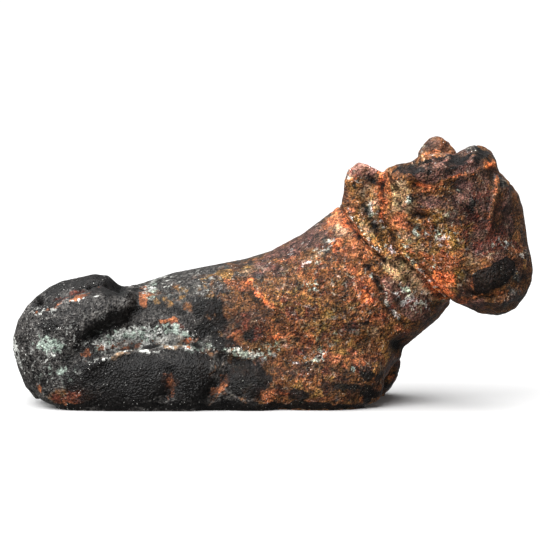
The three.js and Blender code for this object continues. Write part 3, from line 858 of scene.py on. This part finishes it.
# The metal under the patina, and how the whole is toned. A pair of numbers is for the dark patina of the
# rump, and what is added to it on the warm patina of the chest and head. A contrast is a gain and a middle.
metal = {
    "charcoal": tone(15, 14, 14),
    "slate": tone(86, 83, 80),
    "bare": {"mix": {"grain": 0.6, "flakes": 0.4}, "contrast": (5, 0.36)},  # how charcoal and slate mix
    "tints": {"wine": (1.18, 0.86, 0.92), "olive": (0.92, 1.08, 0.8)},  # of the warm patina
    "tintContrasts": {"wine": (5, 0.4), "olive": (5, 0.35)},
    "contrast": 3,  # of flakes, ripples, grain and grit
    "exposure": 0.95,  # how much darker the colours are than they look in the picture's light
    "paintedLightAndShade": 0.6,  # how much brighter painted light makes a place, and painted shade darker
    "unshaded": 1.12,  # the brightness out of the hollows
    # painted shade in creases; pits are dark corrosion and painted shade
    "pitsDarken": 1.3,
    "creasesDarken": 0.9,
    "flakesShade": (0.86, 0.28),  # the darkest flake, and how much lighter the lightest is
    # painted light and shade on the sides of the grain: the ripple noise less itself moved towards the light
    "rippleShift": (-0.1, -0.03, 0.12),  # millimetres towards the light
    "rippleLightAndShade": (1.0, 0.8),
    "pepper": (0.9, 0.4),  # in the broad fields, and added on the warm patina
    "pepperMix": {"grain": 0.2, "grit": 0.45, "dust": 0.35},
    "pepperContrast": 6,
    "pepperFields": (0.45, 0.55),  # everywhere, and more in broad fields
    "fieldContrast": 4,
    "specular": 0.2,
    "rough": 0.36,
    "flakesRough": 0.6,
    "layersRough": {"blackPatinaAndPaintedShade": -0.06, "rust": 0.14, "chalkAndPaintedHighlights": 0.2},
    "heights": {"flakes": (0.03, 0.17), "grain": (0.09, 0.05), "grit": (0.06, 0.0)},  # millimetres
    "crusts": {"rust": 0.03, "chalkAndPaintedHighlights": 0.05, "mint": 0.05},
}
# The noises that they are made of: size in millimetres, seed, detail, roughness and twist.
noises = {
    "broad": (5.0, 1),
    "flakes": (1.3, 2, 6.0, 0.7, 0.8),
    "rippleLightAndShade": (0.52, 6, 1.5, 0.6, 0.4),
    "grain": (0.42, 3, 1.5, 0.8),
    "grit": (0.24, 4, 0.5, 0.6),
    "dust": (0.15, 5, 0.0),
    "veins": (2.4, 51, 2.0, 0.5),
    "veinFields": (2.6, 52, 2.0),
    "cracks": (1.5, 53, 4.0, 0.6, 1.0),
    "crackFields": (2.2, 54),
    "wine": (1.7, 61, 6.0, 0.7, 1.0),
    "olive": (2.1, 62, 6.0, 0.7, 1.0),
}
# How each layer breaks up into flakes, and how its two tones mix.
layering = {
    "flakeSeed": 10,
    "flakes": (5.0, 0.62, 0.5),  # detail, roughness and twist
    "fadeIn": 7,
    "cloudSize": 1.5,
    "cloudSeed": 30,
    "clouds": (5.0, 0.65),
    "mix": {"clouds": 0.64, "grain": 0.21, "grit": 0.15},
    "contrast": (3.4, 0.48),
}
# Small marks over the layers, shown where a noise is above a level. "share" is a pair as above.
marks = {
    # White grains of crust, and painted glints.
    "flecksAndPaintedGlints": {
        "colour": tone(240, 238, 232), "size": 0.5, "radius": 0.13, "level": 0.42, "gain": 8,
        "share": (0.9, -0.45), "opacity": 0.75,
    },
    "pocks": {
        "colour": metal["charcoal"], "size": 0.62, "radius": 0.26, "level": 0.42, "gain": 8,
        "share": (0.3, 0.7), "opacity": 0.75,
    },
    "cracks": {"colour": metal["charcoal"], "sharpness": 26, "level": 0.46, "gain": 8, "share": (0.25, 0.5)},
    "veins": {"colour": tone(206, 190, 168), "sharpness": 60, "level": 0.5, "gain": 9, "opacity": 0.35},
}


def byWarmth(pair, warm):
    return pair[0] + pair[1] * warm


def mixed(made, shares):
    parts = [made[name] * share for name, share in shares.items()]
    return sum(parts[1:], parts[0])


def layered(board, where, made, colour):  # the patina's layers in their order, and what each one covers
    covers = {}
    for number, (name, layer) in enumerate(patina.items()):
        texture = board.noise(where, layer["size"], layering["flakeSeed"] + number, *layering["flakes"])
        cover = board.attribute(name)
        spread = (cover + (texture - 0.5) * layer["lace"]).crisp(layer["edge"])
        covers[name] = spread * (cover * layering["fadeIn"]).clamped()
        cloudSeed = layering["cloudSeed"] + number
        cloud = board.noise(where, layering["cloudSize"], cloudSeed, *layering["clouds"])
        shades = mixed({**made, "clouds": cloud}, layering["mix"]).crisp(*layering["contrast"])
        shaded = board.blend(*layer["tones"], shades)
        colour = board.blend(colour, shaded, covers[name] * layer["opacity"])
    return colour, covers


def dotted(board, where, colour, mark, field, warm):
    dots = board.specks(where, mark["size"], mark["radius"]) * field.above(mark["level"]) * mark["gain"]
    shown = (dots * byWarmth(mark["share"], warm)).clamped() * mark["opacity"]
    return board.blend(colour, mark["colour"], shown)


def threads(mark, line, field):
    return line.thread(mark["sharpness"]) * field.above(mark["level"]) * mark["gain"]


def marked(board, where, made, colour, covers, warm):
    colour = dotted(board, where, colour, marks["flecksAndPaintedGlints"], made["broad"], warm)
    cracks, veins = marks["cracks"], marks["veins"]
    shown = threads(cracks, made["cracks"], made["crackFields"]).clamped() * byWarmth(cracks["share"], warm)
    colour = board.blend(colour, cracks["colour"], shown)
    shown = (threads(veins, made["veins"], made["veinFields"]) * warm * (1 - covers["blackPatinaAndPaintedShade"])).clamped()
    colour = board.blend(colour, veins["colour"], shown * veins["opacity"])
    colour = dotted(board, where, colour, marks["pocks"], made["flakes"], warm)
    for name, tint in metal["tints"].items():
        share = made[name].crisp(*metal["tintContrasts"][name]) * warm
        colour = board.blend(colour, board.tinted(colour, tint), share)
    return colour


def shading(board, where, made, warm):  # painted shade in creases, dark pits that are partly corrosion and partly painted shade, painted light and shade on the sides of the grain, and painted light and shade from the patches
    pits = (board.attribute("pit") - 0.5) * metal["pitsDarken"]
    hollow = pits + (board.attribute("crease") - 0.5) * metal["creasesDarken"]
    darkest, lighter = metal["flakesShade"]
    flakes = darkest + lighter * made["flakes"].crisp(metal["contrast"])
    # painted light and shade on the grain's sides, the noise less itself moved towards the light
    here = made["rippleLightAndShade"].crisp(metal["contrast"])
    towardsLight = board.noise(board.shiftedBy(where, metal["rippleShift"]), *noises["rippleLightAndShade"])
    rippleLightAndShade = 1 + byWarmth(metal["rippleLightAndShade"], warm) * (here - towardsLight.crisp(metal["contrast"]))
    everywhere, inFields = metal["pepperFields"]
    fields = everywhere + inFields * made["broad"].crisp(metal["fieldContrast"])
    onDark, onWarm = metal["pepper"]
    grains = mixed(made, metal["pepperMix"]).crisp(metal["pepperContrast"])
    pepper = 1 + (fields * onDark + onWarm * warm) * (grains - 0.5)
    # painted light, and painted shade where it is below zero
    paintedLightAndShade = 1 + metal["paintedLightAndShade"] * board.attribute("paintedLightAndShade")
    return (metal["unshaded"] - hollow) * flakes * rippleLightAndShade * pepper * paintedLightAndShade * metal["exposure"]


def patinaMaterial():
    board = Board("bronzePatina")
    where = board.millimetres()
    made = {name: board.noise(where, *settings) for name, settings in noises.items()}
    warm = board.attribute("warm")
    bare = mixed(made, metal["bare"]["mix"]).crisp(*metal["bare"]["contrast"])
    colour, covers = layered(board, where, made, board.blend(metal["charcoal"], metal["slate"], bare))
    colour = marked(board, where, made, colour, covers, warm)
    colour = board.scaledColour(colour, shading(board, where, made, warm))

    relief = 0
    for name, height in metal["heights"].items():
        relief += made[name].crisp(metal["contrast"]) * byWarmth(height, warm)
    for name, height in metal["crusts"].items():
        relief += covers[name] * height
    bump = board.node("Bump", {}, {"Height": relief, "Distance": mm, "Strength": 1.0})
    rough = metal["rough"] + (made["flakes"] - 0.5) * metal["flakesRough"]
    for name, rougher in metal["layersRough"].items():
        rough += covers[name] * rougher
    inputs = {"Base Color": colour, "Roughness": rough.clamped(), "Normal": Wire(board, bump.outputs[0])}
    inputs.update({"Metallic": 0.0, "Specular IOR Level": metal["specular"]})
    shader = board.node("BsdfPrincipled", {}, inputs)
    board.node("OutputMaterial", {}, {"Surface": Wire(board, shader.outputs[0])})
    return board.material


addCamera()
bull = castBull()
wear(bull, wornPlaces)
strike(bull, bodyStrokes)
strike(bull, headStrokes)
smoothed(bull, casting["strokeRounds"])
print("strokes are struck")
corrode(bull)
fitOutline(bull)
standFlat(bull)
weather(bull)
print("patina is laid")
bpy.ops.object.shade_smooth()
bull.data.materials.clear()
bull.data.materials.append(patinaMaterial())
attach(bull, "root")
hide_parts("bull")

# The stage: a pale floor and soft lights.
stage = {
    "floorSize": 30.0,  # metres
    "floorTone": (0.78, 0.78, 0.78, 1),
    "floorRough": 0.95,
    "floorLights": False,  # True lets the pale floor brighten the bull from below
    "sky": 0.2,
}
lamps = {
    "sun": {"kind": "SUN", "at": (-0.37, -0.1, 0.92), "size": math.radians(88), "power": 4.3},
    "window": {"kind": "AREA", "at": (-0.3, -0.6, 0.42), "size": 0.6, "power": 5.4},
}


def layFloor():
    bpy.ops.mesh.primitive_plane_add(size=stage["floorSize"])
    floor = bpy.context.object
    floor.name = "floor"
    board = Board("paper")
    looks = {"Base Color": stage["floorTone"], "Roughness": stage["floorRough"]}
    shader = board.node("BsdfPrincipled", {}, looks)
    board.node("OutputMaterial", {}, {"Surface": Wire(board, shader.outputs[0])})
    floor.data.materials.append(board.material)
    floor.visible_diffuse = stage["floorLights"]
    floor.visible_glossy = stage["floorLights"]


def hangLamps():
    for name, lamp in lamps.items():
        data = bpy.data.lights.new(name, lamp["kind"])
        data.energy = lamp["power"]
        if lamp["kind"] == "SUN":
            data.angle = lamp["size"]
        else:
            data.size = lamp["size"]
        light = bpy.data.objects.new(name, data)
        light.location = lamp["at"]
        light.rotation_euler = (-Vector(lamp["at"])).to_track_quat("-Z", "Y").to_euler()
        bpy.context.scene.collection.objects.link(light)
    world = bpy.data.worlds.new("studio")
    bpy.context.scene.world = world
    world.use_nodes = True
    world.node_tree.nodes["Background"].inputs["Color"].default_value = (1, 1, 1, 1)
    world.node_tree.nodes["Background"].inputs["Strength"].default_value = stage["sky"]
    bpy.context.scene.view_settings.view_transform = "Standard"


layFloor()
hangLamps()
print("stage is set")
